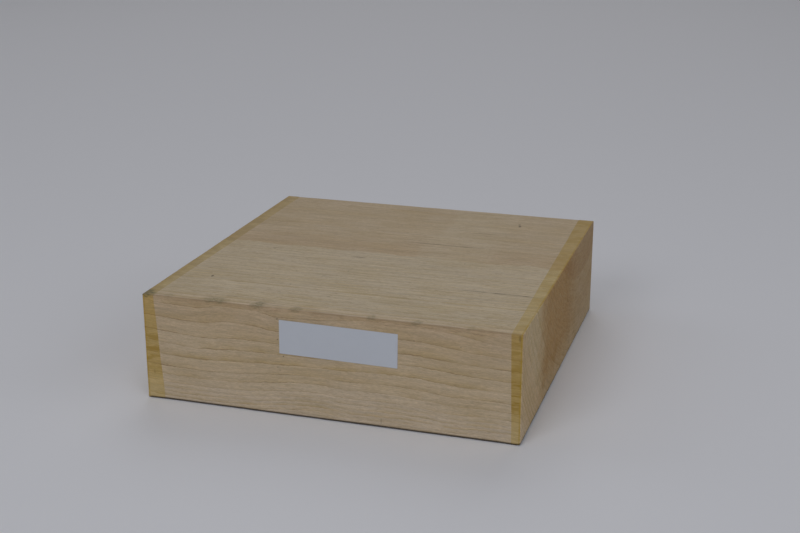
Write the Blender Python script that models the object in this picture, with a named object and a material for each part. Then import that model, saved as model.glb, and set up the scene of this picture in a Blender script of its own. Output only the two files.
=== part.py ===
"""Square-sawn birch block, a blank for turning or carving, with waxed ends and a paper label.

Metres, +Z up. The origin is at the centre of the underside, +X runs along the grain and the
label is on the -Y side. The block is one sawn piece of timber. Each end was dipped in wax, which
keeps the end grain from drying too fast: the coat covers the end face and turns the arrises as
far as the dip line, and it is rubbed off underneath, where the block stands. The label is a thin
sheet of self-adhesive paper, a little crooked, stuck near the upper edge of the front.
"""

from math import radians

import bmesh
import bpy
from mathutils import Matrix, Vector

# The sawn block.
LENGTH = 0.2000  # X, along the grain, between the two end-grain faces
WIDTH = 0.2026  # Y, across the grain
THICKNESS = 0.0576  # Z, as a 60 mm plank measures once it is dry and planed
ARRIS = 0.0004  # the edges are eased by this much when the saw fuzz is rubbed off
ARRIS_SEGMENTS = 3

# The wax on the two ends.
WAX = 0.0002  # thickness of the coat
WAX_GAP = 0.0001  # clearance between the coat and the wood
WAX_FOOT = 0.0003  # the coat stops this far above the ground
# How far each dip reached along the block, at the front's upper edge, at the front's lower edge
# and at the back's upper edge. The block was held a little askew, so the dip line slants.
LEFT_DIP = (0.0062, 0.0100, 0.0080)
RIGHT_DIP = (0.0060, 0.0047, 0.0093)

# The label, cut from 18 mm white tape.
LABEL_WIDTH = 0.0623
LABEL_HEIGHT = 0.0180
PAPER = 0.0001  # thickness of the sheet
GLUE_GAP = 0.0001  # the film of glue between the paper and the wood
LABEL_X = 0.0065  # its centre, right of the block's middle
LABEL_Z = 0.0424  # its centre, above the underside
LABEL_TILT = radians(0.6)  # the right-hand end is the lower one
LABEL_CORNER = 0.0003  # the guillotine leaves its corners barely rounded

WOOD_COLOUR = (0.66, 0.50, 0.31, 1.0)
WAX_COLOUR = (0.52, 0.35, 0.13, 1.0)
PAPER_COLOUR = (0.80, 0.81, 0.84, 1.0)

SHARP_ANGLE = radians(25)


def clear_scene():
    """Remove what the scene starts with."""
    for obj in list(bpy.data.objects):
        bpy.data.objects.remove(obj, do_unlink=True)


def material(name, colour, roughness):
    """A plain non-metallic finish."""
    made = bpy.data.materials.new(name)
    made.use_nodes = True
    shader = made.node_tree.nodes["Principled BSDF"]
    shader.inputs["Base Color"].default_value = colour
    shader.inputs["Roughness"].default_value = roughness
    shader.inputs["Metallic"].default_value = 0.0
    return made


def add_object(name, bm, finish):
    """Turn a bmesh into a named object in the scene."""
    mesh = bpy.data.meshes.new(name)
    bm.to_mesh(mesh)
    bm.free()
    mesh.materials.append(finish)
    mesh.shade_smooth()
    mesh.set_sharp_from_angle(angle=SHARP_ANGLE)
    obj = bpy.data.objects.new(name, mesh)
    bpy.context.scene.collection.objects.link(obj)
    return obj


def box(low, high):
    """A bmesh of a plain box between two corners."""
    low = Vector(low)
    high = Vector(high)
    bm = bmesh.new()
    bmesh.ops.create_cube(bm, size=1.0)
    bmesh.ops.scale(bm, vec=high - low, verts=bm.verts)
    bmesh.ops.translate(bm, vec=(low + high) / 2, verts=bm.verts)
    return bm


def ease_edges(bm, edges, offset, segments):
    """Round some edges of a bmesh."""
    bmesh.ops.bevel(
        bm,
        geom=edges,
        affect="EDGES",
        offset=offset,
        segments=segments,
        profile=0.5,
        material=-1,
    )


def grown_block(margin, foot):
    """The block's outline grown by a margin on every side, with its underside at a given height."""
    half_length = LENGTH / 2 + margin
    half_width = WIDTH / 2 + margin
    low = (-half_length, -half_width, foot)
    bm = box(low, (half_length, half_width, THICKNESS + margin))
    ease_edges(bm, bm.edges[:], ARRIS + margin, ARRIS_SEGMENTS)
    return bm


def birch_block():
    """The block, standing on the ground with every arris slightly eased."""
    return add_object("birch_block", grown_block(0.0, 0.0), material("birch", WOOD_COLOUR, 0.62))


def end_cutter():
    """The space that the block and its clearance take up, open underneath."""
    bm = grown_block(WAX_GAP, -THICKNESS)
    cutter = add_object("block_space", bm, material("guide", WOOD_COLOUR, 1.0))
    cutter.hide_render = True
    cutter.display_type = "WIRE"
    return cutter


def wax_coat(name, side, dip, finish, cutter):
    """The wax on one end: side is -1 for the left end and 1 for the right."""
    bm = grown_block(WAX_GAP + WAX, -THICKNESS)
    front_upper, front_lower, back_upper = dip
    upper = Vector((side * (LENGTH / 2 - front_upper), -WIDTH / 2, THICKNESS))
    lower = Vector((side * (LENGTH / 2 - front_lower), -WIDTH / 2, 0.0))
    back = Vector((side * (LENGTH / 2 - back_upper), WIDTH / 2, THICKNESS))
    dip_normal = (lower - upper).cross(back - upper)
    if dip_normal.x * side > 0:
        dip_normal.negate()
    for point, normal in ((upper, dip_normal), (Vector((0, 0, WAX_FOOT)), Vector((0, 0, -1)))):
        cut = bmesh.ops.bisect_plane(
            bm,
            geom=bm.verts[:] + bm.edges[:] + bm.faces[:],
            dist=1e-7,
            plane_co=point,
            plane_no=normal,
            clear_outer=True,
        )
        rim = [e for e in cut["geom_cut"] if isinstance(e, bmesh.types.BMEdge)]
        bmesh.ops.contextual_create(bm, geom=rim)
    coat = add_object(name, bm, finish)
    hollow = coat.modifiers.new("block_space", "BOOLEAN")
    hollow.operation = "DIFFERENCE"
    hollow.solver = "EXACT"
    hollow.object = cutter
    return coat


def paper_label():
    """The label, flat on the front face with a film of glue behind it."""
    half = Vector((LABEL_WIDTH, PAPER, LABEL_HEIGHT)) / 2
    bm = box(-half, half)
    corner_edges = [e for e in bm.edges if abs(e.verts[0].co.y - e.verts[1].co.y) > PAPER / 2]
    ease_edges(bm, corner_edges, LABEL_CORNER, ARRIS_SEGMENTS)
    bmesh.ops.rotate(bm, verts=bm.verts, matrix=Matrix.Rotation(LABEL_TILT, 3, "Y"))
    label = add_object("paper_label", bm, material("label_paper", PAPER_COLOUR, 0.55))
    label.location = (LABEL_X, -WIDTH / 2 - GLUE_GAP - PAPER / 2, LABEL_Z)
    return label


def main():
    clear_scene()
    birch_block()
    cutter = end_cutter()
    wax = material("end_wax", WAX_COLOUR, 0.4)
    wax_coat("wax_coat_left", -1, LEFT_DIP, wax, cutter)
    wax_coat("wax_coat_right", 1, RIGHT_DIP, wax, cutter)
    paper_label()


main()
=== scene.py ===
"""A square-sawn birch block with waxed ends and a bare paper label, finished for a studio view."""

from math import inf, pi, radians

import bmesh
import bpy
from mathutils import Matrix, Vector, noise


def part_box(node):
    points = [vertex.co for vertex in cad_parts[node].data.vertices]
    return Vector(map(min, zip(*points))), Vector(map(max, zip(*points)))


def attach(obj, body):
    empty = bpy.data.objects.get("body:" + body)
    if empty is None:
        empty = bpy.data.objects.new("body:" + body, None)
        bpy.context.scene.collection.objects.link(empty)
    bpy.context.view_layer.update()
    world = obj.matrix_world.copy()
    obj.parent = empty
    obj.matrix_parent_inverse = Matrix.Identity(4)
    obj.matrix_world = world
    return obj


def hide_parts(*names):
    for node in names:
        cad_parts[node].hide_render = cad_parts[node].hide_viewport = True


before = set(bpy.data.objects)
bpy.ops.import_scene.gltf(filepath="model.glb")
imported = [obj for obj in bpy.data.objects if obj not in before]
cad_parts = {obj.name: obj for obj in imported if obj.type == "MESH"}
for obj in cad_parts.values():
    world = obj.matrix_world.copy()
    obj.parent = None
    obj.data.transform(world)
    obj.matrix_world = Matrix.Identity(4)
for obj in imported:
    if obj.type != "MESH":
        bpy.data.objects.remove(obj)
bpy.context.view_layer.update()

MM = 0.001

# The block's box, from the frame. The origin is under its middle and the grain runs along X.
BLOCK_LOW, BLOCK_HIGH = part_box("birch_block")
LENGTH, WIDTH, THICKNESS = BLOCK_HIGH - BLOCK_LOW
LABEL_LOW, LABEL_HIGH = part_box("paper_label")

# The same in mm, which is the unit of everything in the materials.
HALF_LENGTH = LENGTH / MM / 2
HALF_WIDTH = WIDTH / MM / 2
TOP = THICKNESS / MM

# The grid over the block: fine rows near the arrises, wider ones between them, and three rows
# close together along each check.
FIRST_ROW = 0.15 * MM
ROW_GROWTH = 1.3
GRAIN_STEP = 2.4 * MM
CROSS_STEP = 1.25 * MM
HEIGHT_STEP = 1.5 * MM
CHECK_ROW = 0.1 * MM
ON_FACE = 1e-6  # a point this close to a face of the box lies on it

# How the block is worn.
ARRIS = 0.45 * MM  # radius of an eased arris
ARRIS_WEAR = 0.35 * MM  # how much more it is where the arris has been knocked
FACE_RELIEF = 0.0245 * MM  # how far in from the sharp box the uneven faces lie, on average
UNDERCUT = 0.30 * MM  # how far the underside lifts along the front
UNDERCUT_REACH = 38 * MM
UNDERCUT_HEIGHT = 5 * MM
UNDERCUT_START_LEFT = (1.5 * MM, 14 * MM)  # from the left: none before the first, all from the second
UNDERCUT_START_RIGHT = (2.5 * MM, 12 * MM)
TEAR = 0.75 * MM  # how deep the saw tore the lower arris of the right-hand end
TEAR_REACH = 1.5 * MM
FOOT_SHADE_LINE = (0.60 * MM, 1.30 * MM)  # painted shade on the front below the first, none above the second
FOOT_SHADE_DEPTH = (5 * MM, 14 * MM)  # and on the underside the painted shade reaches this far in
TORN_SHADE_LINE = (0.5 * MM, 2.2 * MM)  # the same heights for the painted shade along the torn arris
TORN_SHADE_FADE = (50 * MM, 110 * MM)  # which gets paler between these distances from the front
SHARP_ANGLE = radians(55)

# The tree. Its pith ran along X, above the block and towards the back of it.
PITH_Y = 67.0  # mm
PITH_Z = 155.0  # mm, above the underside
HEART_RADIUS = 118.0  # mm, where the heartwood ends

# Growth rings near the front: the radius of each ring line in mm, outwards, and how bold the line
# is. The rings get narrower towards the bark. Further in they are a steady width, and faint.
INNER_RING_WIDTH = 3.1
RING_LINES = (195.7, 200.0, 204.6, 208.0, 211.6, 215.4, 218.3, 221.1, 222.9, 224.6, 226.2, 227.8)
RING_BOLDNESS = (0.55, 0.75, 1.30, 0.95, 0.85, 1.05, 0.85, 0.65, 0.50, 0.45, 0.35, 0.30)
INNER_BOLDNESS = 0.40
OUTER_RING_WIDTH = 1.5
RADIUS_SPAN = (90.0, 234.0)  # the block lies between these radii
LINE_RISE = (0.905, 0.975)  # where in its ring a line starts, and where it is full
LINE_FALL = (0.985, 1.0)
ARC_RADIUS = 180.0  # mm, where lengths round the pith are measured

# How the rings wander along the grain, at three depths in the tree: place along the block from
# its left end and shift of the ring line outwards, in mm.
WANDER_DEPTHS = (198.0, 206.0, 217.0)
WANDER_START = (178.0, 196.0)  # no shared wander inside the first radius, all of it from the second
WANDER_SPAN = 4.0
WANDER = (
    ((0, 0.5), (12, 0.8), (29, 1.2), (45, 0.1), (60, 0.0), (73, 1.0), (95, 0.6), (133, -0.5), (150, -0.3),
     (165, 0.7), (180, 1.9), (200, 3.2)),
    ((0, -0.2), (13, 0.3), (29, 1.0), (37, 0.8), (50, 0.1), (75, 0.1), (93, 0.3), (120, -0.7), (140, -1.2),
     (160, -0.5), (178, 0.0), (200, 0.3)),
    ((0, 0.4), (27, 1.0), (42, 0.7), (56, 0.1), (75, -1.1), (93, -1.9), (111, -1.1), (133, -1.5), (150, -1.4),
     (168, -0.6), (182, -0.9), (200, -0.6)),
)

# Drying checks in the top face: place from the left end and from the back, length, opening, depth
# and how far they wander sideways, all in mm.
CHECKS = (
    (125.0, 75.0, 50.0, 0.36, 0.7, 0.50),
    (177.0, 148.0, 48.0, 0.48, 0.8, 0.15),
    (143.0, 46.0, 17.0, 0.24, 0.5, 0.10),
    (56.5, 120.0, 21.0, 0.10, 0.2, 0.12),
    (87.0, 111.0, 12.0, 1.10, 1.2, 0.10),
    (36.0, 107.5, 7.0, 0.14, 0.3, 0.10),
    (21.0, 76.0, 8.0, 0.12, 0.2, 0.10),
)
CHECK_BEND_REACH = 3.5 * MM  # how far round a check the grid bends with it

# The wax: how far each dip reached at the front's upper edge, the front's lower edge and the
# back's upper edge.
LEFT_DIP = (6.2 * MM, 10.0 * MM, 8.0 * MM)
RIGHT_DIP = (6.0 * MM, 4.7 * MM, 9.3 * MM)
WAX_FILM = 0.16 * MM  # how far it stands proud of the wood
WAX_ROOT = 0.02 * MM  # how far its rim dips under the wood's surface
WAX_SHELL = 0.24 * MM  # the thickness of the closed skin
WAX_EDGE = 1.1 * MM  # over this width it thins out to its rim
WAX_FOOT = 0.6 * MM  # and over this height to its foot

# The label, cut from 18 mm tape. One corner has started to lift.
LABEL_WIDTH = 62.3 * MM
LABEL_HEIGHT = 18.0 * MM
LABEL_PAPER = 0.12 * MM
LABEL_TILT = radians(0.6)
LABEL_STAND_OFF = 0.14 * MM  # from the block's face to the front of the paper
LABEL_RIPPLE = 0.012 * MM
LABEL_LIFT = 0.09 * MM
LABEL_LIFT_REACH = 9 * MM

# Colours, as linear light.
PALE_BIRCH = (0.645, 0.505, 0.325, 1)
TAN_BIRCH = (0.540, 0.390, 0.185, 1)
RING_LINE = (0.300, 0.185, 0.085, 1)
VESSEL = (0.380, 0.250, 0.120, 1)
HEARTWOOD = (0.900, 0.825, 0.745, 1)
SAPWOOD = (1.050, 1.090, 1.200, 1)
INNER_WOOD = (0.975, 1.015, 1.030, 1)
END_GRAIN = (1.100, 1.065, 1.020, 1)
END_STAIN = (0.705, 0.530, 0.335, 1)
# Painted shade towards the back of the end faces.
END_BACK_SHADE = (0.880, 0.880, 0.930, 1)
END_PALE = (0.500, 0.400, 0.250, 1)
END_DARK = (0.170, 0.105, 0.050, 1)
BAND_TINT = (0.880, 0.825, 0.780, 1)
BROWNED = (0.350, 0.240, 0.120, 1)
OLIVE_STAIN = (0.170, 0.150, 0.058, 1)
# Painted shade, for the checks and the lower arrises.
PAINTED_SHADE_BROWN = (0.030, 0.018, 0.010, 1)
PITH_FLECK = (0.100, 0.065, 0.030, 1)
WAX_TINT = (0.940, 0.850, 0.505, 1)
THIN_WAX_TINT = (1.000, 0.960, 0.700, 1)
THICK_WAX = (0.405, 0.250, 0.038, 1)
WAX_BEAD = (0.480, 0.300, 0.026, 1)
WAX_BEAD_TOP = (0.420, 0.300, 0.130, 1)
PAPER_WHITE = (0.650, 0.680, 0.720, 1)

# How strongly each feature shows, and how deep the finest relief is.
RING_STRENGTH = 0.68
FIBRE_STRENGTHS = {"Dash": 0.20, "Vessel": 0.30, "Ray": 0.16, "Nick": 0.50}
BROWN_STRENGTH = 0.60
STAIN_STRENGTH = 0.62
WAX_STAIN_STRENGTH = 0.55
WAX_VEIL = 0.15  # how far the wax hides the wood's own pattern
DEEPEST_PAINTED_SHADE = 0.92  # how dark the painted shade makes the wood inside a check
WOOD_BUMP = 0.03 * MM
PAPER_BUMP = 0.008 * MM
END_EDGE = (0.45, 0.15)  # mm from the end, where side grain turns into end grain

# The studio. A lamp has its place, the side of its square in metres, its power and its colour.
COOL_LIGHT = (0.95, 0.97, 1.05)
NEUTRAL_LIGHT = (0.98, 0.97, 1.00)
LAMPS = {
    "soft_box_front": ((-0.5, -1.7, 1.3), 0.9, 6.6, COOL_LIGHT),
    "soft_box_right": ((1.15, -1.0, 0.95), 0.9, 2.0, COOL_LIGHT),
    "soft_box_left_side": ((-2.2, 0.2, 1.4), 1.2, 3.2, COOL_LIGHT),
    "soft_box_right_side": ((2.2, 0.2, 1.4), 1.2, 3.8, COOL_LIGHT),
    "soft_box_top": ((0.3, -0.9, 2.0), 1.2, 5.9, COOL_LIGHT),
    "soft_box_back": ((-0.5, 2.2, 2.2), 2.0, 12.8, NEUTRAL_LIGHT),
}
LAMP_TARGET = Vector((0, 0, 0.03))
FLOOR_COLOUR = (0.87, 0.87, 0.87, 1)
FLOOR_ROUGHNESS = 0.7
FLOOR_HALF_SIDE = 6.0
AIR_COLOUR = (0.95, 0.97, 1.06, 1)
AIR_STRENGTH = 0.12
CAMERA_PLACE = (0.21704, -0.67598, 0.28315)
CAMERA_AIM = (-0.28138, 0.90762, -0.31151)
CAMERA_LENS = 59.53  # mm, on a sensor 36 mm wide
CAMERA_SENSOR = 36.0


def smooth(low, high, value):
    """0 below low, 1 above high, and an even rise between them."""
    t = min(max((value - low) / (high - low), 0.0), 1.0)
    return t * t * (3 - 2 * t)


def wave(point, swell, seed):
    """Seeded smooth noise from -1 to 1. Swell is its size in mm along each axis, inf for even."""
    x, y, z = (place / (size * MM) for place, size in zip(point, swell))
    return noise.noise(Vector((x, y, z + 17.3 * seed)))


# ---------------------------------------------------------------- the block's shape


def graded_places(low, high, step, extra=()):
    """Where the grid lines of one axis go: packed near both ends, and three at each extra place."""
    near = [0.0]
    gap = FIRST_ROW
    while gap < step:
        near.append(near[-1] + gap)
        gap *= ROW_GROWTH
    middle = high - low - 2 * near[-1]
    count = round(middle / step)
    places = [low + n for n in near]
    places += [low + near[-1] + middle * k / count for k in range(1, count)]
    places += [high - n for n in reversed(near)]
    for place in extra:
        places = [p for p in places if abs(p - place) > 2.5 * CHECK_ROW]
        places += [place - CHECK_ROW, place, place + CHECK_ROW]
    return sorted(places)


def check_centre(check):
    """The middle of a check on the top face, in the block's frame."""
    return BLOCK_LOW.x + check[0] * MM, BLOCK_HIGH.y - check[1] * MM


def block_grid():
    """A bmesh of the block's sharp box, cut into a graded grid."""
    rows = (
        graded_places(BLOCK_LOW.x, BLOCK_HIGH.x, GRAIN_STEP),
        graded_places(BLOCK_LOW.y, BLOCK_HIGH.y, CROSS_STEP, [check_centre(c)[1] for c in CHECKS]),
        graded_places(BLOCK_LOW.z, BLOCK_HIGH.z, HEIGHT_STEP),
    )
    bm = bmesh.new()
    bmesh.ops.create_cube(bm, size=2.0)
    for axis, places in enumerate(rows):
        along = [e for e in bm.edges if abs(e.verts[0].co[axis] - e.verts[1].co[axis]) > 1]
        bmesh.ops.subdivide_edges(bm, edges=along, cuts=len(places) - 2, use_grid_fill=True)
    for v in bm.verts:
        for axis, places in enumerate(rows):
            v.co[axis] = places[round((v.co[axis] + 1) / 2 * (len(places) - 1))]
    return bm


def arris_radius(p):
    """The easing of the arris nearest to a point, larger where it has been knocked."""
    knocks = wave(p, (19, 17, 15), 1) + 0.6 * wave(p, (5, 4, 4), 2)
    return ARRIS + ARRIS_WEAR * max(0.0, knocks)


def rounded(p):
    """A point of the sharp box, moved onto the box with eased arrises."""
    radius = arris_radius(p)
    centre = (BLOCK_LOW + BLOCK_HIGH) / 2
    half = (BLOCK_HIGH - BLOCK_LOW) / 2
    out = Vector((0, 0, 0))
    core = Vector((0, 0, 0))
    for axis in range(3):
        offset = p[axis] - centre[axis]
        reach = half[axis] - radius
        core[axis] = min(max(offset, -reach), reach)
        out[axis] = offset - core[axis]
    return centre + core + out.normalized() * radius


def check_shape(p):
    shift = sink = shade_amount = 0.0
    for number, check in enumerate(CHECKS):
        _, _, length, opening, depth, bend = check
        x, y = check_centre(check)
        along = (p.x - x) / (length * MM / 2)
        across = p.y - y
        if abs(across) > CHECK_BEND_REACH:
            continue
        bend_here = wave(p, (9, inf, inf), 30 + number) + 0.4 * wave(p, (3, inf, inf), 40 + number)
        ease = (1 - (across / CHECK_BEND_REACH) ** 2) ** 2
        shift += bend * MM * bend_here * ease
        if abs(along) >= 1 or abs(across) > 1.5 * CHECK_ROW:
            continue
        gape = (1 - along**2) * max(0.15, 0.75 + 0.9 * wave(p, (6, inf, inf), 50 + number))
        # The middle row sinks to make the slit, and the rows beside it open to make its lips.
        # Both get painted shade, standing for the shade down in the check.
        if abs(across) < 0.1 * CHECK_ROW:
            sink = depth * MM * gape
            shade_amount = min(1.0, 0.25 + gape) * min(1.0, 0.35 + 2 * opening)
        else:
            side = 1 if across > 0 else -1
            shift += side * (opening * MM / 2 * gape - 0.7 * CHECK_ROW)
            shade_amount = min(1.0, 0.75 * gape) * min(1.0, 2.2 * opening)
    return shift, sink, shade_amount


def foot_painted_shade(p):
    """Painted contact shade, partly grime, along the lower arrises: the front one, and the torn one of the
    right-hand end.
    """
    from_left = p.x - BLOCK_LOW.x
    from_right = BLOCK_HIGH.x - p.x
    from_front = p.y - BLOCK_LOW.y
    front = smooth(0, 2 * MM, from_left) * (1 - smooth(*FOOT_SHADE_DEPTH, from_front))
    front *= 1 - smooth(*FOOT_SHADE_LINE, p.z)
    ragged = 0.85 + 0.7 * wave(p, (inf, 6, inf), 20) + 0.7 * wave(p, (inf, 1.8, inf), 21)
    right = (1 - smooth(*TORN_SHADE_LINE, p.z)) * (1 - smooth(0, TEAR_REACH, from_right))
    right *= max(0.0, ragged) * (1.3 - 0.8 * smooth(*TORN_SHADE_FADE, from_front))
    return min(1.0, max(front, right))


def worn(p):
    """A point of the sharp box, moved onto the worn block, and how much painted shade it gets there."""
    place = rounded(p)
    # Painted shade along the lower arrises, and on the top face inside the checks.
    shade_amount = foot_painted_shade(p)
    from_left = p.x - BLOCK_LOW.x
    from_right = BLOCK_HIGH.x - p.x
    from_front = p.y - BLOCK_LOW.y
    if p.z > BLOCK_HIGH.z - ON_FACE:
        shift, sink, shade_amount = check_shape(p)
        place.y += shift
        place.z -= sink

    # The faces are not dead flat.
    relief = FACE_RELIEF * (1 + wave(p, (45, 30, 30), 3) + 0.4 * wave(p, (20, 6, 6), 4))
    inward = Vector((0, 0, 0))
    for axis in range(3):
        if p[axis] < BLOCK_LOW[axis] + ON_FACE:
            inward[axis] = 1
        elif p[axis] > BLOCK_HIGH[axis] - ON_FACE:
            inward[axis] = -1
    place += inward * relief

    # The underside is hollow along the front. The hollow fades out before both corners.
    ends = smooth(*UNDERCUT_START_LEFT, from_left) * smooth(*UNDERCUT_START_RIGHT, from_right)
    uneven = 0.82 + 0.25 * wave(p, (30, inf, inf), 5)
    lift = UNDERCUT * ends * uneven * (1 - smooth(0, UNDERCUT_REACH, from_front))
    place.z += lift * (1 - smooth(0, UNDERCUT_HEIGHT, p.z))

    # The saw tore the lower arris of the right-hand end.
    tear = 0.55 + 0.5 * wave(p, (inf, 4.5, inf), 6) + 0.45 * wave(p, (inf, 1.6, inf), 7)
    near_foot = 1 - smooth(0, TEAR_REACH, p.z + 0.5 * from_right)
    place.x -= TEAR * max(0.0, tear) * near_foot
    rise = 0.4 + 0.6 * wave(p, (inf, 3.5, inf), 8)
    place.z += 0.6 * TEAR * max(0.0, rise) * near_foot * (1 - smooth(0, 0.8 * TEAR_REACH, p.z))
    return place, shade_amount


def mesh_object(name, bm, finish):
    """Turn a bmesh into a smooth-shaded object."""
    mesh = bpy.data.meshes.new(name)
    bm.to_mesh(mesh)
    bm.free()
    mesh.materials.append(finish)
    mesh.shade_smooth()
    mesh.set_sharp_from_angle(angle=SHARP_ANGLE)
    obj = bpy.data.objects.new(name, mesh)
    bpy.context.scene.collection.objects.link(obj)
    return obj


def timber(finish):
    """The block itself."""
    bm = block_grid()
    painted_shade = bm.verts.layers.float.new("painted_shade")
    for v in bm.verts:
        v.co, v[painted_shade] = worn(v.co.copy())
    bm.normal_update()
    return mesh_object("timber", bm, finish)


def dip_plane(side, dip):
    """A point on a wax's dip line plane, and the plane's normal towards the block's middle."""
    front_upper, front_lower, back_upper = dip
    end = BLOCK_HIGH.x if side > 0 else BLOCK_LOW.x
    upper = Vector((end - side * front_upper, BLOCK_LOW.y, BLOCK_HIGH.z))
    lower = Vector((end - side * front_lower, BLOCK_LOW.y, BLOCK_LOW.z))
    back = Vector((end - side * back_upper, BLOCK_HIGH.y, BLOCK_HIGH.z))
    normal = (lower - upper).cross(back - upper).normalized()
    if normal.x * side > 0:
        normal.negate()
    return upper, normal


def wax_film(name, side, dip, finish):
    """The wax over one end: a thin skin that follows the worn wood and thins out at its rim."""
    rim, inwards = dip_plane(side, dip)
    bm = block_grid()
    painted_shade = bm.verts.layers.float.new("painted_shade")
    everything = bm.verts[:] + bm.edges[:] + bm.faces[:]
    bmesh.ops.bisect_plane(bm, geom=everything, dist=1e-7, plane_co=rim, plane_no=inwards, clear_outer=True)
    under = [f for f in bm.faces if all(v.co.z < BLOCK_LOW.z + ON_FACE for v in f.verts)]
    bmesh.ops.delete(bm, geom=under, context="FACES")
    sharp = {v: v.co.copy() for v in bm.verts}
    for v, p in sharp.items():
        v.co, v[painted_shade] = worn(p)
    bm.normal_update()
    for v, p in sharp.items():
        from_rim = -(p - rim).dot(inwards)
        wobble = 1 + 0.22 * wave(p, (4, 5, 4), 9)
        thick = WAX_FILM * wobble * smooth(0, WAX_EDGE, from_rim) * smooth(0, WAX_FOOT, p.z)
        v.co += v.normal * (thick - WAX_ROOT)
    bmesh.ops.solidify(bm, geom=bm.faces[:], thickness=WAX_SHELL)
    bm.normal_update()
    return mesh_object(name, bm, finish)


def label_sheet(finish):
    """The paper label, pressed on flat with one corner starting to lift."""
    middle = (LABEL_LOW + LABEL_HIGH) / 2
    bm = bmesh.new()
    bmesh.ops.create_grid(bm, x_segments=96, y_segments=28, size=0.5)
    bmesh.ops.scale(bm, vec=(LABEL_WIDTH, LABEL_HEIGHT, 1), verts=bm.verts)
    lower_right = Vector((LABEL_WIDTH / 2, -LABEL_HEIGHT / 2, 0))
    for v in bm.verts:
        lift = LABEL_LIFT * (1 - smooth(0, LABEL_LIFT_REACH, (v.co - lower_right).length))
        ripple = LABEL_RIPPLE * (1 + wave(v.co, (12, 7, inf), 10))
        v.co.z = ripple + lift
    bmesh.ops.solidify(bm, geom=bm.faces[:], thickness=LABEL_PAPER)
    bmesh.ops.rotate(bm, verts=bm.verts, matrix=Matrix.Rotation(pi / 2, 3, "X"))
    bmesh.ops.rotate(bm, verts=bm.verts, matrix=Matrix.Rotation(LABEL_TILT, 3, "Y"))
    bmesh.ops.translate(bm, verts=bm.verts, vec=(middle.x, BLOCK_LOW.y - LABEL_STAND_OFF, middle.z))
    bm.normal_update()
    return mesh_object("label", bm, finish)


# ---------------------------------------------------------------- writing shader nodes


class Board:
    """A material's nodes or a node group's, with short ways to add to them."""

    def __init__(self, tree):
        self.tree = tree

    def add(self, kind, **settings):
        node = self.tree.nodes.new("ShaderNode" + kind)
        for name, value in settings.items():
            setattr(node, name, value)
        return node

    def feed(self, socket, value):
        """Link a socket to an output, or set it to a constant."""
        if isinstance(value, bpy.types.NodeSocket):
            self.tree.links.new(value, socket)
        else:
            socket.default_value = value

    def math(self, operation, *values, clamp=False):
        node = self.add("Math", operation=operation, use_clamp=clamp)
        for socket, value in zip(node.inputs, values):
            self.feed(socket, value)
        return node.outputs[0]

    def vector(self, operation, *values):
        node = self.add("VectorMath", operation=operation)
        for socket, value in zip(node.inputs, values):
            self.feed(socket, value)
        return node.outputs[0]

    def scaled(self, position, x, y, z):
        """A position divided by a size in mm along each axis."""
        return self.vector("MULTIPLY", position, (1 / x, 1 / y, 1 / z))

    def join(self, x, y, z):
        node = self.add("CombineXYZ")
        for socket, value in zip(node.inputs, (x, y, z)):
            self.feed(socket, value)
        return node.outputs[0]

    def split(self, vector):
        node = self.add("SeparateXYZ")
        self.feed(node.inputs[0], vector)
        return node.outputs

    def noise(self, position, detail=2.0, roughness=0.5, shift=0.0):
        """Noise from 0 to 1."""
        moved = self.vector("ADD", position, (shift, shift * 0.7, -shift))
        node = self.add("TexNoise")
        self.feed(node.inputs["Vector"], moved)
        self.feed(node.inputs["Scale"], 1.0)
        self.feed(node.inputs["Detail"], detail)
        self.feed(node.inputs["Roughness"], roughness)
        return node.outputs[0]

    def swing(self, position, detail=2.0, roughness=0.5, shift=0.0):
        """Noise from -0.5 to 0.5."""
        return self.math("SUBTRACT", self.noise(position, detail, roughness, shift), 0.5)

    def ramp(self, value, low, high, to_low=0.0, to_high=1.0):
        """A smooth step from to_low at low to to_high at high."""
        node = self.add("MapRange", interpolation_type="SMOOTHSTEP")
        for socket, number in zip(node.inputs, (value, low, high, to_low, to_high)):
            self.feed(socket, number)
        return node.outputs[0]

    def blend(self, how, factor, a, b):
        """Mix two colours."""
        node = self.add("Mix", data_type="RGBA", blend_type=how)
        self.feed(node.inputs["Factor"], factor)
        self.feed(node.inputs[6], a)
        self.feed(node.inputs[7], b)
        return node.outputs[2]

    def curve(self, value, points):
        """A curve through points whose both coordinates run from 0 to 1."""
        node = self.add("FloatCurve")
        line = node.mapping.curves[0]
        for number, (x, y) in enumerate(points):
            if number < 2:
                line.points[number].location = (x, y)
            else:
                line.points.new(x, y)
        node.mapping.use_clip = False
        node.mapping.update()
        self.feed(node.inputs["Value"], value)
        return node.outputs[0]

    def place(self, group, **values):
        """Put a node group on the board, with its inputs set by name."""
        node = self.add("Group")
        node.node_tree = group
        for name, value in values.items():
            self.feed(node.inputs[name.replace("_", " ").capitalize()], value)
        return node.outputs


def new_group(name, inputs, outputs):
    """A node group with named sockets: its board, its inputs and a function that sets its outputs."""
    tree = bpy.data.node_groups.new(name, "ShaderNodeTree")
    kinds = {"value": "NodeSocketFloat", "colour": "NodeSocketColor", "vector": "NodeSocketVector"}
    for label, kind in inputs.items():
        tree.interface.new_socket(label, in_out="INPUT", socket_type=kinds[kind])
    for label, kind in outputs.items():
        tree.interface.new_socket(label, in_out="OUTPUT", socket_type=kinds[kind])
    source = tree.nodes.new("NodeGroupInput").outputs
    sink = tree.nodes.new("NodeGroupOutput").inputs
    board = Board(tree)

    def give(**values):
        for label, value in values.items():
            board.feed(sink[label.replace("_", " ").capitalize()], value)

    return board, source, give


# ---------------------------------------------------------------- the wood


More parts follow.
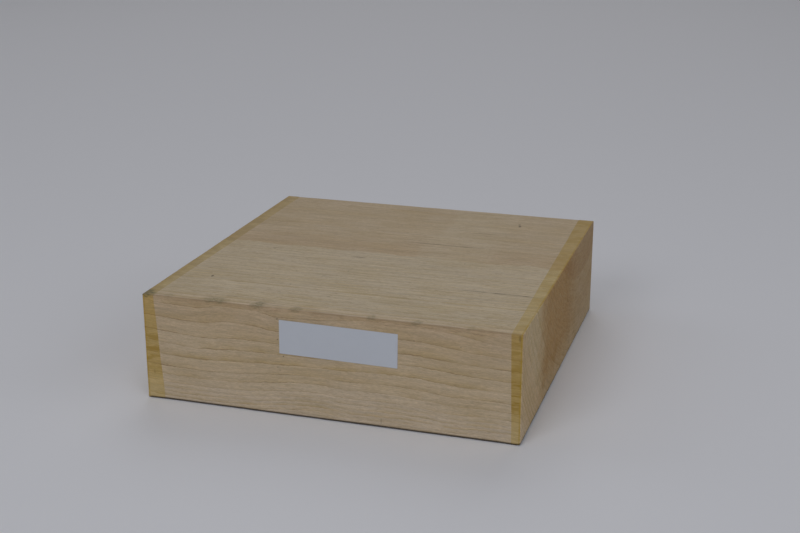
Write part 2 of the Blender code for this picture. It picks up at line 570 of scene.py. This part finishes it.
def growth_rings_group():
    """Rings round the pith: a point's radius and arc length, and where it lies in its ring."""
    outputs = ("Radius", "Arc", "Phase", "Tone", "Line", "Patch", "Depth")
    board, source, give = new_group("growth_rings", {"Position": "vector"}, dict.fromkeys(outputs, "value"))
    position = source["Position"]
    x, y, z = board.split(position)
    from_pith = board.join(0.0, board.math("SUBTRACT", y, PITH_Y), board.math("SUBTRACT", z, PITH_Z))
    length = board.add("VectorMath", operation="LENGTH")
    board.feed(length.inputs[0], from_pith)
    true_radius = length.outputs["Value"]

    # The wander that neighbouring rings share, from three curves along the block.
    along = board.math("DIVIDE", board.math("ADD", x, HALF_LENGTH), 2 * HALF_LENGTH)
    shifts = []
    for points in WANDER:
        drawn = [(place / (2 * HALF_LENGTH), 0.5 + shift / WANDER_SPAN / 2) for place, shift in points]
        height = board.curve(along, drawn)
        shifts.append(board.math("MULTIPLY", board.math("SUBTRACT", height, 0.5), 2 * WANDER_SPAN))
    upper, middle, lower = shifts
    to_middle = board.ramp(true_radius, WANDER_DEPTHS[0], WANDER_DEPTHS[1])
    to_lower = board.ramp(true_radius, WANDER_DEPTHS[1], WANDER_DEPTHS[2])
    mixed = board.math("MULTIPLY_ADD", board.math("SUBTRACT", middle, upper), to_middle, upper)
    mixed = board.math("MULTIPLY_ADD", board.math("SUBTRACT", lower, mixed), to_lower, mixed)
    near_front = board.ramp(true_radius, *WANDER_START)
    shared = board.math("MULTIPLY", mixed, near_front)

    # And the wander of each place on its own: broad, small and jagged.
    broad = board.swing(board.scaled(position, 75, 26, 26), 1.0, shift=3.1)
    small = board.swing(board.scaled(position, 11, 5, 5), 2.0, shift=8.2)
    jag = board.swing(board.scaled(position, 2.6, 1.3, 1.3), 1.0, shift=12.6)
    wander = board.math("MULTIPLY_ADD", broad, 1.6, board.math("MULTIPLY", small, 0.7))
    wander = board.math("MULTIPLY_ADD", jag, 0.55, wander)
    radius = board.math("ADD", board.math("SUBTRACT", true_radius, shared), wander)

    # Count the rings. The curve is steady inside and steepens as the rings get narrow.
    first, last = RADIUS_SPAN

    def part(ring):
        """A radius as a part of the span, from 0 to 1."""
        return (ring - first) / (last - first)

    inner_count = (RING_LINES[0] - first) / INNER_RING_WIDTH
    full_count = inner_count + len(RING_LINES) - 1 + (last - RING_LINES[-1]) / OUTER_RING_WIDTH
    marks = [(0.0, 0.0)]
    for number, ring in enumerate(RING_LINES):
        marks.append((part(ring), (inner_count + number) / full_count))
    marks.append((1.0, 1.0))
    span = board.add("MapRange")
    for socket, number in zip(span.inputs, (radius, first, last, 0.0, 1.0)):
        board.feed(socket, number)
    counted = board.math("MULTIPLY", board.curve(span.outputs[0], marks), full_count)
    counted = board.math("SUBTRACT", counted, inner_count % 1)
    uneven = board.swing(board.join(0.0, 0.0, board.math("DIVIDE", radius, 7.0)), 1.0)
    steady = board.ramp(radius, 180.0, 194.0, 3.2, 0.0)
    counted = board.math("MULTIPLY_ADD", uneven, steady, counted)
    phase = board.math("FRACT", counted)
    index = board.math("FLOOR", counted)
    tone = board.add("TexWhiteNoise", noise_dimensions="1D")
    board.feed(tone.inputs["W"], index)

    # The dark line at the end of each ring: patchy, fainter to the right, and each as bold as listed.
    rise = board.ramp(phase, *LINE_RISE)
    fall = board.ramp(phase, *LINE_FALL, 1.0, 0.0)
    line = board.math("MULTIPLY", rise, fall)
    stretch = board.join(board.math("DIVIDE", x, 16.0), 0.0, board.math("MULTIPLY", index, 3.7))
    patchy = board.noise(stretch, 2.0)
    line = board.math("MULTIPLY", line, board.ramp(patchy, 0.36, 0.60, 0.35, 1.0))
    line = board.math("MULTIPLY", line, board.ramp(x, -25.0, 35.0, 1.1, 0.75))
    bold = [(0.0, INNER_BOLDNESS / 2), (part(RING_LINES[0] - 5), INNER_BOLDNESS / 2)]
    for ring, boldness in zip(RING_LINES, RING_BOLDNESS):
        bold.append((part(ring), boldness / 2))
    bold.append((1.0, RING_BOLDNESS[-1] / 2))
    line = board.math("MULTIPLY", line, board.math("MULTIPLY", board.curve(span.outputs[0], bold), 2.0))

    arc = board.math("ARCTAN2", board.math("SUBTRACT", y, PITH_Y), board.math("SUBTRACT", PITH_Z, z))
    give(
        radius=radius,
        arc=board.math("MULTIPLY", arc, ARC_RADIUS),
        phase=phase,
        tone=tone.outputs["Value"],
        line=line,
        patch=patchy,
        depth=true_radius,
    )
    return board.tree


def fibre_group():
    """Close up, along the grain: streaks, dashes, open vessels, ray flecks, dark nicks and nap."""
    inputs = {"Position": "vector", "Radius": "value", "Arc": "value"}
    outputs = ("Streak", "Dash", "Vessel", "Ray", "Nick", "Nap", "Fuzz")
    board, source, give = new_group("fibre", inputs, dict.fromkeys(outputs, "value"))
    x = board.split(source["Position"])[0]
    radius = source["Radius"]
    arc = source["Arc"]
    grain = board.join(x, radius, arc)
    fine = board.noise(board.scaled(grain, 14, 0.32, 0.32), 2.0, 0.6)
    broad = board.noise(board.scaled(grain, 32, 1.1, 1.5), 2.0, 0.6, shift=5.5)
    streak = board.math("MULTIPLY_ADD", fine, 0.5, board.math("MULTIPLY", broad, 0.5))
    streak = board.math("SUBTRACT", streak, 0.5)
    dash = board.ramp(board.noise(board.scaled(grain, 6, 0.7, 0.9), 2.0, 0.65, shift=11.3), 0.54, 0.70)
    vessel = board.ramp(board.noise(board.scaled(grain, 2.6, 0.13, 0.13), 1.0, shift=9.4), 0.62, 0.74)
    ray = board.ramp(board.noise(board.scaled(grain, 0.55, 3.2, 0.14), 1.0, shift=2.7), 0.60, 0.75)
    nick = board.ramp(board.noise(board.scaled(grain, 4.0, 0.7, 0.8), 1.0, shift=17.9), 0.63, 0.69)
    nick = board.math("MULTIPLY", nick, board.ramp(radius, 186.0, 198.0, 1.0, 0.35))
    nap = board.noise(board.scaled(grain, 2.4, 0.34, 0.40), 2.0, 0.7, shift=14.2)
    fuzz = board.noise(board.scaled(source["Position"], 0.5, 0.12, 0.12), 2.0, 0.7, shift=7.7)
    give(streak=streak, dash=dash, vessel=vessel, ray=ray, nick=nick, nap=nap, fuzz=fuzz)
    return board.tree


def end_grain_group():
    """The end grain: pores, rays out from the pith, saw marks, mottle, and how far wax soaked in."""
    inputs = {"Position": "vector", "Radius": "value", "Arc": "value"}
    outputs = ("Pore", "Ray", "Saw", "Mottle", "Soak", "Far")
    board, source, give = new_group("end_grain", inputs, dict.fromkeys(outputs, "value"))
    _, y, z = board.split(source["Position"])
    radius = source["Radius"]
    arc = source["Arc"]
    flat = board.join(0.0, board.math("DIVIDE", y, 0.42), board.math("DIVIDE", z, 0.42))
    cell = board.add("TexVoronoi", feature="F1")
    board.feed(cell.inputs["Vector"], flat)
    board.feed(cell.inputs["Scale"], 1.0)
    pore = board.ramp(cell.outputs["Distance"], 0.12, 0.30, 1.0, 0.0)
    fan = board.join(board.math("DIVIDE", arc, 0.8), board.math("DIVIDE", radius, 15.0), 0.0)
    ray = board.noise(fan, 3.0, 0.65)
    sweep = board.math("ADD", board.math("MULTIPLY", y, 0.32), board.math("MULTIPLY", z, 1.0))
    bow = board.math("MULTIPLY", board.math("MULTIPLY", y, y), 0.0016)
    teeth = board.math("DIVIDE", board.math("ADD", sweep, bow), 1.5)
    saw = board.noise(board.join(0.0, teeth, 0.0), 3.0, 0.6)
    spread = board.join(0.0, board.math("DIVIDE", radius, 1.1), board.math("DIVIDE", arc, 9.0))
    mottle = board.noise(spread, 3.0, 0.65, shift=4.4)

    # How far the wax has soaked in: most in the middle, less at the back and along the foot, and
    # not at all along the front. Far says how near the back a point is, for the painted shade there.
    blotch = board.swing(board.scaled(source["Position"], 16, 16, 9), 3.0, 0.6, shift=6.6)
    from_front = board.math("ADD", y, HALF_WIDTH)
    soak = board.ramp(board.math("MULTIPLY_ADD", blotch, 34.0, from_front), 30.0, 66.0)
    soak = board.math("MULTIPLY", soak, board.ramp(from_front, 112.0, 160.0, 1.0, 0.5))
    above_foot = board.math("MULTIPLY_ADD", blotch, 18.0, z)
    soak = board.math("MULTIPLY", soak, board.ramp(above_foot, 4.0, 20.0, 0.50, 1.0))
    far = board.ramp(from_front, 95.0, 165.0)
    give(pore=pore, ray=ray, saw=saw, mottle=mottle, soak=soak, far=far)
    return board.tree


def spot_group():
    """A soft-edged ellipsoid round a centre, 1 in its middle and 0 outside it."""
    inputs = dict.fromkeys(("Position", "Centre", "Size"), "vector")
    board, source, give = new_group("spot", inputs, {"Mask": "value"})
    offset = board.vector("SUBTRACT", source["Position"], source["Centre"])
    offset = board.vector("DIVIDE", offset, source["Size"])
    length = board.add("VectorMath", operation="LENGTH")
    board.feed(length.inputs[0], offset)
    give(mask=board.ramp(length.outputs["Value"], 0.35, 1.0, 1.0, 0.0))
    return board.tree


# Marks in and on the wood: place from the left end, from the front, above the underside, then
# its size along each axis, all in mm, and its strength.
FLECKS = (
    (159.5, 177.5, TOP, 1.2, 1.9, 2, 0.85),
    (158.6, 181.0, TOP, 1.0, 1.4, 2, 0.70),
    (35.0, 93.5, TOP, 1.2, 0.7, 2, 0.35),
    (22.0, 37.6, TOP, 0.9, 1.7, 2, 0.95),
    (67.0, 37.2, TOP, 0.6, 1.1, 2, 0.40),
    (146.0, 97.5, TOP, 0.4, 1.2, 2, 0.50),
    (89.0, 66.5, TOP, 0.5, 1.0, 2, 0.40),
    (79.0, 55.3, TOP, 1.4, 0.5, 2, 0.40),
    (181.0, 88.3, TOP, 2.0, 0.5, 2, 0.40),
    (93.0, 24.4, TOP, 1.3, 0.6, 2, 0.45),
    (62.0, 58.5, TOP, 0.5, 0.9, 2, 0.35),
    (91.0, 158.5, TOP, 0.9, 1.0, 2, 0.25),
    (196.0, 68.6, TOP, 1.6, 0.6, 2, 0.60),
    (74.4, 0.0, 52.0, 0.5, 2, 0.7, 0.60),
    (74.4, 0.0, 41.0, 0.5, 2, 0.5, 0.70),
    (77.3, 0.0, 32.3, 0.45, 2, 0.45, 0.85),
    (74.0, 0.0, 26.0, 0.8, 2, 0.5, 0.40),
    (75.4, 0.0, 24.4, 0.7, 2, 0.4, 0.35),
    (129.0, 0.0, 3.6, 0.5, 2, 2.2, 0.30),
    (146.0, 0.0, 48.5, 0.6, 2, 0.5, 0.40),
    (169.5, 0.0, 48.0, 0.5, 2, 0.4, 0.45),
    (4.5, 0.0, 15.0, 0.8, 2, 1.6, 0.22),
    (198.5, 0.0, 55.6, 0.9, 2, 2.4, 0.60),
)
STAINS = (
    (14.0, 2.0, TOP, 4.0, 5.0, 1.4, 0.50),
    (40.0, 2.5, TOP, 9.5, 6.5, 1.8, 1.10),
    (63.5, 2.5, TOP, 5.5, 6.5, 1.8, 1.10),
    (84.0, 1.5, TOP, 4.5, 5.0, 1.3, 0.85),
    (123.5, 1.5, TOP, 3.4, 6.0, 1.4, 0.95),
    (147.0, 1.5, TOP, 3.2, 5.5, 1.4, 0.80),
    (174.0, 1.0, TOP, 3.0, 4.5, 1.2, 0.45),
    (1.0, 2.5, TOP, 7.0, 7.5, 2.0, 1.70),
)


def mark_mask(board, spot, position, marks, soften):
    """All of a list of marks together, with their outlines broken up by a little noise."""
    jitter = board.add("TexNoise")
    board.feed(jitter.inputs["Vector"], board.scaled(position, soften, soften, soften))
    board.feed(jitter.inputs["Scale"], 1.0)
    push = board.vector("SUBTRACT", jitter.outputs["Color"], (0.5, 0.5, 0.5))
    node = board.add("VectorMath", operation="SCALE")
    board.feed(node.inputs[0], push)
    board.feed(node.inputs["Scale"], soften)
    moved = board.vector("ADD", position, node.outputs[0])
    total = None
    for left, front, height, size_x, size_y, size_z, strength in marks:
        centre = (left - HALF_LENGTH, front - HALF_WIDTH, height)
        mask = board.place(spot, position=moved, centre=centre, size=(size_x, size_y, size_z))[0]
        mask = board.math("MULTIPLY", mask, strength)
        total = mask if total is None else board.math("MAXIMUM", total, mask)
    return total


def handling_group(spot):
    """The marks on the block: dark flecks, stains along the front arris, and its browned edge."""
    outputs = ("Fleck", "Stain", "Arris", "Band")
    board, source, give = new_group("handling", {"Position": "vector"}, dict.fromkeys(outputs, "value"))
    position = source["Position"]
    _, y, z = board.split(position)
    fleck = mark_mask(board, spot, position, FLECKS, 0.6)
    stain = mark_mask(board, spot, position, STAINS, 3.0)
    grime = board.noise(board.scaled(position, 1.9, 1.1, 1.1), 3.0, 0.7, shift=6.1)
    stain = board.math("MULTIPLY", stain, board.ramp(grime, 0.36, 0.64, 0.25, 1.0))

    # The front's upper arris is browned, unevenly.
    from_front = board.math("ADD", y, HALF_WIDTH)
    from_top = board.math("SUBTRACT", TOP, z)
    uneven = board.noise(board.scaled(position, 13, 40, 40), 3.0, 0.6, shift=1.9)
    reach = board.ramp(uneven, 0.30, 0.70, 0.35, 1.0)
    corner = board.math("ADD", board.math("MULTIPLY", from_front, 0.45), from_top)
    arris = board.ramp(board.math("DIVIDE", corner, reach), 0.35, 1.0, 1.0, 0.0)

    # A browner band lies under it, on the front face only, and the front also gets a little darker towards
    # the top.
    width = board.ramp(uneven, 0.35, 0.65, 1.8, 3.8)
    band = board.ramp(board.math("DIVIDE", from_top, width), 0.7, 1.1, 1.0, 0.0)
    band = board.math("MAXIMUM", band, board.ramp(from_top, 3.0, 26.0, 0.55, 0.0))
    band = board.math("MULTIPLY", band, board.ramp(from_front, 0.8, 1.2, 1.0, 0.0))
    give(fleck=fleck, stain=stain, arris=arris, band=band)
    return board.tree


def birch_group():
    """Birch at a point in mm from the block's origin, and how much end grain and dirt is there."""
    board, source, give = new_group(
        "birch_wood",
        {"Position": "vector"},
        {"Color": "colour", "Height": "value", "Roughness": "value", "End": "value", "Dirt": "value"},
    )
    position = source["Position"]
    x = board.split(position)[0]
    rings = board.place(growth_rings_group(), position=position)
    radius = rings["Radius"]
    fibre = board.place(fibre_group(), position=position, radius=radius, arc=rings["Arc"])
    end = board.place(end_grain_group(), position=position, radius=radius, arc=rings["Arc"])
    marks = board.place(handling_group(spot_group()), position=position)
    end_mask = board.ramp(board.math("ABSOLUTE", x), *(HALF_LENGTH - edge for edge in END_EDGE))
    side_mask = board.math("SUBTRACT", 1.0, end_mask)

    # Each ring starts pale and turns tan towards its line. The sapwood is paler, and the wood deep
    # inside a shade cooler.
    ripen = board.math("POWER", rings["Phase"], 1.6)
    ripen = board.math("MULTIPLY", ripen, board.math("MULTIPLY_ADD", rings["Tone"], 0.55, 0.35))
    ripen = board.math("MULTIPLY", ripen, board.ramp(radius, 112.0, 190.0, 0.35, 1.0))
    ripen = board.math("MULTIPLY", ripen, board.ramp(rings["Patch"], 0.30, 0.62, 0.35, 1.1))
    cloud = board.noise(board.scaled(position, 34, 15, 9), 3.0, 0.6, shift=2.2)
    tan = board.math("ADD", ripen, board.math("MULTIPLY_ADD", cloud, 1.3, -0.55), clamp=True)
    colour = board.blend("MIX", tan, PALE_BIRCH, TAN_BIRCH)
    contrast = board.ramp(radius, 188.0, 200.0, 1.2, 0.85)
    shade = board.math("MULTIPLY_ADD", fibre["Streak"], contrast, 0.725)
    shade = board.math("MULTIPLY_ADD", fibre["Nap"], 0.55, shade)
    colour = board.blend("MULTIPLY", 1.0, colour, board.join(shade, shade, shade))
    colour = board.blend("MULTIPLY", board.ramp(radius, 214.0, 224.0), colour, SAPWOOD)
    colour = board.blend("MULTIPLY", board.ramp(rings["Depth"], 184.0, 194.0, 1.0, 0.0), colour, INNER_WOOD)

    # The heartwood is browner. It stops short in a wavy line, is strongest next to that line, and is
    # fainter in one stretch.
    ebb = board.swing(board.scaled(position, 17, 60, 60), 3.0, 0.6, shift=8.8)
    depth = board.math("MULTIPLY_ADD", ebb, 7.0, rings["Depth"])
    heart = board.ramp(depth, HEART_RADIUS - 1.3, HEART_RADIUS, 1.0, 0.0)
    fade = board.ramp(depth, 101.0, 112.0, 0.60, 1.0)
    along = board.math("MULTIPLY_ADD", ebb, 30.0, x)
    gap = board.math("MULTIPLY", board.ramp(along, 6.0, 24.0), board.ramp(along, 44.0, 66.0, 0.55, 0.0))
    heart = board.math("MULTIPLY", board.math("MULTIPLY", heart, fade), board.math("SUBTRACT", 1.0, gap))
    colour = board.blend("MULTIPLY", heart, colour, HEARTWOOD)

    colour = board.blend("MIX", board.math("MULTIPLY", rings["Line"], RING_STRENGTH), colour, RING_LINE)
    for feature, strength in FIBRE_STRENGTHS.items():
        amount = board.math("MULTIPLY", board.math("MULTIPLY", fibre[feature], side_mask), strength)
        colour = board.blend("MIX", amount, colour, VESSEL)

    # The end grain is brown where the wax has soaked in, has painted shade towards the back, and is mottled.
    ended = board.blend("MULTIPLY", 1.0, colour, END_GRAIN)
    ended = board.blend("MULTIPLY", end["Soak"], ended, END_STAIN)
    ended = board.blend("MULTIPLY", end["Far"], ended, END_BACK_SHADE)
    ended = board.blend("MIX", board.ramp(end["Mottle"], 0.48, 0.68, 0.0, 0.35), ended, END_PALE)
    ended = board.blend("MIX", board.ramp(end["Mottle"], 0.32, 0.50, 0.26, 0.0), ended, END_DARK)
    ended = board.blend("MIX", board.math("MULTIPLY", rings["Line"], 0.24), ended, END_DARK)
    ended = board.blend("MIX", board.math("MULTIPLY", end["Pore"], 0.28), ended, VESSEL)
    ended = board.blend("MIX", board.ramp(end["Ray"], 0.48, 0.70, 0.0, 0.30), ended, END_PALE)
    ended = board.blend("MIX", board.ramp(end["Ray"], 0.32, 0.50, 0.12, 0.0), ended, END_DARK)
    colour = board.blend("MIX", end_mask, colour, ended)

    colour = board.blend("MULTIPLY", marks["Band"], colour, BAND_TINT)
    colour = board.blend("MIX", board.math("MULTIPLY", marks["Arris"], BROWN_STRENGTH), colour, BROWNED)
    stained = board.math("MULTIPLY", marks["Stain"], STAIN_STRENGTH, clamp=True)
    colour = board.blend("MIX", stained, colour, OLIVE_STAIN)
    colour = board.blend("MIX", marks["Fleck"], colour, PITH_FLECK)

    # The relief: raised fibres and sunk vessels on the sides, saw marks and pores on the ends.
    height = board.math("MULTIPLY", fibre["Streak"], 0.9)
    vessel = board.math("MULTIPLY", fibre["Vessel"], side_mask)
    height = board.math("SUBTRACT", height, board.math("MULTIPLY", vessel, 0.8))
    height = board.math("MULTIPLY_ADD", fibre["Fuzz"], 0.45, height)
    height = board.math("SUBTRACT", height, board.math("MULTIPLY", rings["Line"], 0.35))
    sawn = board.math("MULTIPLY_ADD", end["Saw"], 2.6, board.math("MULTIPLY", end["Pore"], -0.9))
    height = board.math("MULTIPLY_ADD", board.math("SUBTRACT", sawn, height), end_mask, height)
    height = board.math("SUBTRACT", height, board.math("MULTIPLY", marks["Fleck"], 1.5))
    roughness = board.math("MULTIPLY_ADD", fibre["Fuzz"], 0.16, 0.50)
    roughness = board.math("MULTIPLY_ADD", end_mask, 0.25, roughness)
    give(color=colour, height=height, roughness=roughness, end=end_mask, dirt=marks["Stain"])
    return board.tree


def finish_material(name):
    """A new material: its board, and its Principled shader."""
    made = bpy.data.materials.new(name)
    made.use_nodes = True
    board = Board(made.node_tree)
    return made, board, made.node_tree.nodes["Principled BSDF"]


def place_in_mm(board):
    """The point being shaded, in mm from the block's origin."""
    coordinates = board.add("TexCoord")
    return board.vector("MULTIPLY", coordinates.outputs["Object"], (1 / MM, 1 / MM, 1 / MM))


def bump(board, shader, height, distance):
    """Raise a shader's surface by a height map."""
    node = board.add("Bump")
    node.inputs["Strength"].default_value = 1.0
    node.inputs["Distance"].default_value = distance
    board.feed(node.inputs["Height"], height)
    board.feed(shader.inputs["Normal"], node.outputs["Normal"])


def with_painted_shade(board, colour):
    """A colour with painted shade where the mesh says so: in the checks and along the lower arrises."""
    attribute = board.add("Attribute", attribute_name="painted_shade")
    return board.blend("MIX", board.math("MULTIPLY", attribute.outputs["Fac"], DEEPEST_PAINTED_SHADE), colour, PAINTED_SHADE_BROWN)


def wood_material(birch):
    """Bare birch, with painted shade inside the checks and along the lower arrises."""
    made, board, shader = finish_material("bare_birch")
    position = place_in_mm(board)
    wood = board.place(birch, position=position)
    board.feed(shader.inputs["Base Color"], with_painted_shade(board, wood["Color"]))
    board.feed(shader.inputs["Roughness"], wood["Roughness"])
    bump(board, shader, wood["Height"], WOOD_BUMP)
    return made


def wax_material(birch):
    """Ochre wax that lets the wood show through, and is almost clear over the end grain."""
    made, board, shader = finish_material("ochre_wax")
    position = place_in_mm(board)
    wood = board.place(birch, position=position)
    x, y, z = board.split(position)
    blot = board.noise(board.scaled(position, 12, 9, 4.0), 3.0, 0.6, shift=3.3)
    grained = board.noise(board.scaled(position, 9, 1.1, 1.1), 3.0, 0.7, shift=9.1)
    patch = board.math("MULTIPLY_ADD", grained, 0.32, board.math("MULTIPLY", blot, 0.68))
    from_end = board.math("SUBTRACT", HALF_LENGTH, board.math("ABSOLUTE", x))
    veiled = board.blend("MIX", WAX_VEIL, wood["Color"], PALE_BIRCH)
    tint = board.blend("MULTIPLY", 1.0, veiled, WAX_TINT)
    thin = board.blend("MULTIPLY", 1.0, veiled, THIN_WAX_TINT)

    # It is thin at the foot. On top it is thin towards the left-hand rim, and on the right-hand
    # strip towards the front.
    at_right = board.math("GREATER_THAN", x, 0.0)
    at_left = board.math("SUBTRACT", 1.0, at_right)
    on_top = board.ramp(z, TOP - 0.6, TOP - 0.2)
    to_rim = board.math("MULTIPLY", board.ramp(from_end, 1.6, 4.5, 0.0, 0.90), at_left)
    forward = board.math("MULTIPLY", at_right, board.ramp(y, -70.0, 40.0, 0.85, 0.20))
    to_rim = board.math("ADD", to_rim, forward)
    low = board.ramp(board.math("MULTIPLY_ADD", patch, 8.0, z), 8.0, 20.0, 0.8, 0.0)
    thinness = board.math("MAXIMUM", low, board.math("MULTIPLY", on_top, to_rim))
    tint = board.blend("MIX", thinness, tint, thin)

    # It is thickest half way up, and stays thick further up on the right-hand strip. There is less
    # of it on top, but for the back of the right-hand strip.
    high = board.math("MULTIPLY", at_right, 0.65)
    upper = board.math("MAXIMUM", board.ramp(z, 34.0, 46.0, 1.0, 0.1), high)
    middle = board.math("MULTIPLY", board.ramp(z, 8.0, 24.0, 0.15, 1.0), upper)
    backward = board.math("MULTIPLY", at_right, board.ramp(y, 0.0, 90.0, 0.05, -0.20))
    less = board.math("MULTIPLY", on_top, board.math("ADD", backward, 0.35))
    middle = board.math("MULTIPLY", middle, board.math("SUBTRACT", 1.0, less))
    most = board.math("MULTIPLY_ADD", at_right, 0.25, 0.75)
    least = board.math("MULTIPLY", at_right, 0.35)
    heavy = board.math("MAXIMUM", board.ramp(patch, 0.40, 0.60), least)
    thick = board.math("MULTIPLY", board.math("MULTIPLY", heavy, most), middle)
    tint = board.blend("MIX", thick, tint, THICK_WAX)

    # A bead of it stands along the arrises of the end. On top at the left it is dull and spread out.
    bead = board.ramp(from_end, 0.45, 1.4, 0.85, 0.0)
    bead = board.math("MULTIPLY", bead, board.ramp(patch, 0.35, 0.58, 0.3, 1.0))
    left_top = board.math("MULTIPLY", on_top, at_left)
    dull = board.math("MULTIPLY", left_top, board.ramp(patch, 0.38, 0.62, 0.2, 0.75))
    bead = board.math("MAXIMUM", bead, dull)
    bead_colour = board.blend("MIX", left_top, WAX_BEAD, WAX_BEAD_TOP)
    tint = board.blend("MIX", bead, tint, bead_colour)
    dirty = board.math("MULTIPLY", wood["Dirt"], WAX_STAIN_STRENGTH, clamp=True)
    tint = board.blend("MIX", dirty, tint, OLIVE_STAIN)
    clear = board.blend("MIX", board.math("MULTIPLY", wood["End"], 0.9), tint, wood["Color"])
    board.feed(shader.inputs["Base Color"], with_painted_shade(board, clear))
    matt = board.math("MULTIPLY_ADD", wood["End"], 0.3, board.ramp(patch, 0.3, 0.7, 0.42, 0.55))
    board.feed(shader.inputs["Roughness"], matt)
    shader.inputs["Specular IOR Level"].default_value = 0.3
    height = board.math("ADD", board.math("MULTIPLY", wood["Height"], 0.4), patch)
    bump(board, shader, height, WOOD_BUMP)
    return made


def paper_material():
    """Smooth white label paper with a faint tooth."""
    made, board, shader = finish_material("label_paper")
    position = place_in_mm(board)
    tooth = board.noise(board.scaled(position, 0.22, 0.22, 0.22), 3.0, 0.6)
    cloud = board.noise(board.scaled(position, 9, 9, 6), 2.0, shift=4.0)
    tone = board.math("MULTIPLY_ADD", cloud, 0.05, 0.975)
    colour = board.blend("MULTIPLY", 1.0, PAPER_WHITE, board.join(tone, tone, tone))
    board.feed(shader.inputs["Base Color"], colour)
    board.feed(shader.inputs["Roughness"], board.math("MULTIPLY_ADD", tooth, 0.12, 0.44))
    bump(board, shader, tooth, PAPER_BUMP)
    return made


# ---------------------------------------------------------------- the studio


def studio():
    """A plain pale floor, six soft square lamps round the block and a faint glow of air."""
    bm = bmesh.new()
    bmesh.ops.create_grid(bm, x_segments=1, y_segments=1, size=FLOOR_HALF_SIDE)
    made, _, shader = finish_material("studio_floor")
    shader.inputs["Base Color"].default_value = FLOOR_COLOUR
    shader.inputs["Roughness"].default_value = FLOOR_ROUGHNESS
    floor = mesh_object("studio_floor", bm, made)

    world = bpy.data.worlds.new("studio_air")
    world.use_nodes = True
    glow = world.node_tree.nodes["Background"]
    glow.inputs["Color"].default_value = AIR_COLOUR
    glow.inputs["Strength"].default_value = AIR_STRENGTH
    bpy.context.scene.world = world

    for name, (place, size, power, tint) in LAMPS.items():
        lamp = bpy.data.lights.new(name, "AREA")
        lamp.shape = "SQUARE"
        lamp.size = size
        lamp.energy = power
        lamp.color = tint
        light = bpy.data.objects.new(name, lamp)
        light.location = place
        light.rotation_euler = (LAMP_TARGET - Vector(place)).to_track_quat("-Z", "Y").to_euler()
        bpy.context.scene.collection.objects.link(light)


def camera():
    """A camera a little above and to the right of the block, looking down at it by 18 degrees."""
    lens = bpy.data.cameras.new("camera")
    lens.lens = CAMERA_LENS
    lens.sensor_width = CAMERA_SENSOR
    lens.clip_start = 0.01
    eye = bpy.data.objects.new("camera", lens)
    eye.location = CAMERA_PLACE
    eye.rotation_euler = Vector(CAMERA_AIM).to_track_quat("-Z", "Y").to_euler()
    bpy.context.scene.collection.objects.link(eye)
    bpy.context.scene.camera = eye


def main():
    studio()
    camera()
    birch = birch_group()
    bare = wood_material(birch)
    wax = wax_material(birch)
    pieces = (
        (timber(bare), "birch_block", "birch"),
        (wax_film("left_wax", -1, LEFT_DIP, wax), "wax_coat_left", "end_wax"),
        (wax_film("right_wax", 1, RIGHT_DIP, wax), "wax_coat_right", "end_wax"),
        (label_sheet(paper_material()), "paper_label", "label_paper"),
    )
    for piece, node, slot in pieces:
        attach(piece, "root")
        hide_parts(node)
    bpy.context.scene.view_settings.view_transform = "Standard"


main()
